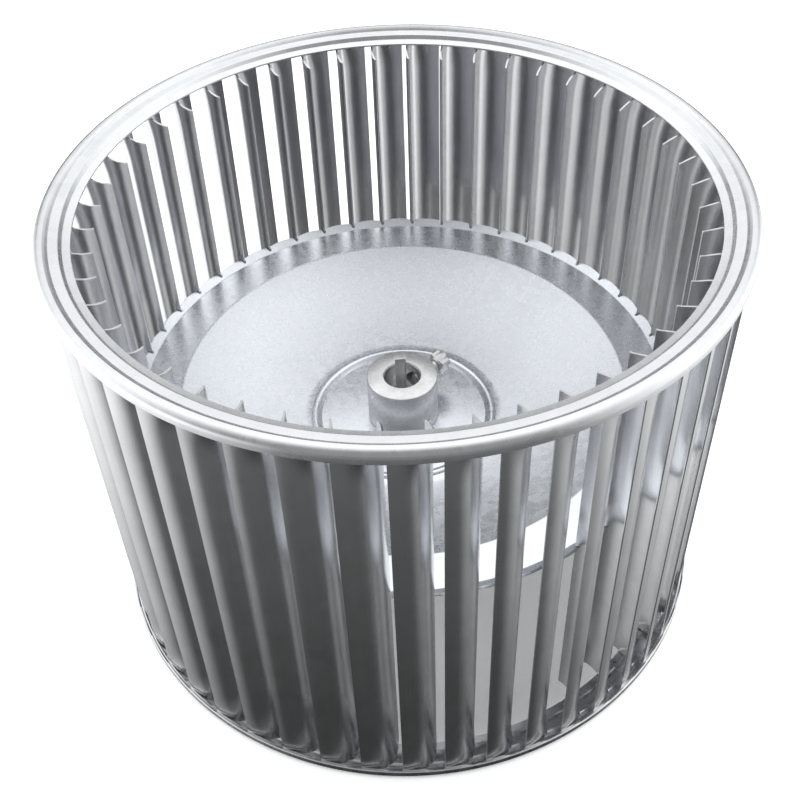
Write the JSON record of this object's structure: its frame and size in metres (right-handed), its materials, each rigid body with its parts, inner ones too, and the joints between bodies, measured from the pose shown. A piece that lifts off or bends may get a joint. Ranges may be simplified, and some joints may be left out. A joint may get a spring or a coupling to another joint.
{
  "type": "blower wheel",
  "caption": "Double-inlet forward-curved blower wheel of galvanised sheet with rolled end rings, dished centre disc and keyed hub with a square-head set screw.",
  "frame": {"origin": "on the wheel's axis at the lower end ring's outer face, which is the centre of the bounding box's base", "axes": "+Z along the wheel's axis towards the end that shows the hub's set screw, +X to the right and -Y towards the viewer"},
  "size_m": [0.2764, 0.2764, 0.2032],
  "materials": {
    "galvanised_ring": "bright galvanised sheet, satin",
    "galvanised_blade": "galvanised sheet, satin, drawn along the blade",
    "galvanised_disc": "galvanised sheet with fine spangle",
    "hub_zinc": "turned steel, zinc plated",
    "screw_zinc": "zinc plated steel"
  },
  "bodies": {
    "wheel": {"top_ring": "galvanised_ring", "bottom_ring": "galvanised_ring", "centre_disc": "galvanised_disc", "hub": "hub_zinc", "blade_01": "galvanised_blade", "blade_02": "galvanised_blade", "blade_03": "galvanised_blade", "blade_04": "galvanised_blade", "blade_05": "galvanised_blade", "blade_06": "galvanised_blade", "blade_07": "galvanised_blade", "blade_08": "galvanised_blade", "blade_09": "galvanised_blade", "blade_10": "galvanised_blade", "blade_11": "galvanised_blade", "blade_12": "galvanised_blade", "blade_13": "galvanised_blade", "blade_14": "galvanised_blade", "blade_15": "galvanised_blade", "blade_16": "galvanised_blade", "blade_17": "galvanised_blade", "blade_18": "galvanised_blade", "blade_19": "galvanised_blade", "blade_20": "galvanised_blade", "blade_21": "galvanised_blade", "blade_22": "galvanised_blade", "blade_23": "galvanised_blade", "blade_24": "galvanised_blade", "blade_25": "galvanised_blade", "blade_26": "galvanised_blade", "blade_27": "galvanised_blade", "blade_28": "galvanised_blade", "blade_29": "galvanised_blade", "blade_30": "galvanised_blade", "blade_31": "galvanised_blade", "blade_32": "galvanised_blade", "blade_33": "galvanised_blade", "blade_34": "galvanised_blade", "blade_35": "galvanised_blade", "blade_36": "galvanised_blade", "blade_37": "galvanised_blade", "blade_38": "galvanised_blade", "blade_39": "galvanised_blade", "blade_40": "galvanised_blade", "blade_41": "galvanised_blade", "blade_42": "galvanised_blade", "blade_43": "galvanised_blade", "blade_44": "galvanised_blade", "blade_45": "galvanised_blade", "blade_46": "galvanised_blade", "blade_47": "galvanised_blade", "blade_48": "galvanised_blade"},
    "screw": {"set_screw": "screw_zinc"}
  },
  "joints": [
    {"name": "set_screw_travel", "type": "slide", "parent": "wheel", "child": "screw", "axis": [0.7193, 0.6947, 0], "range_m": [0, 0.006]}
  ]
}
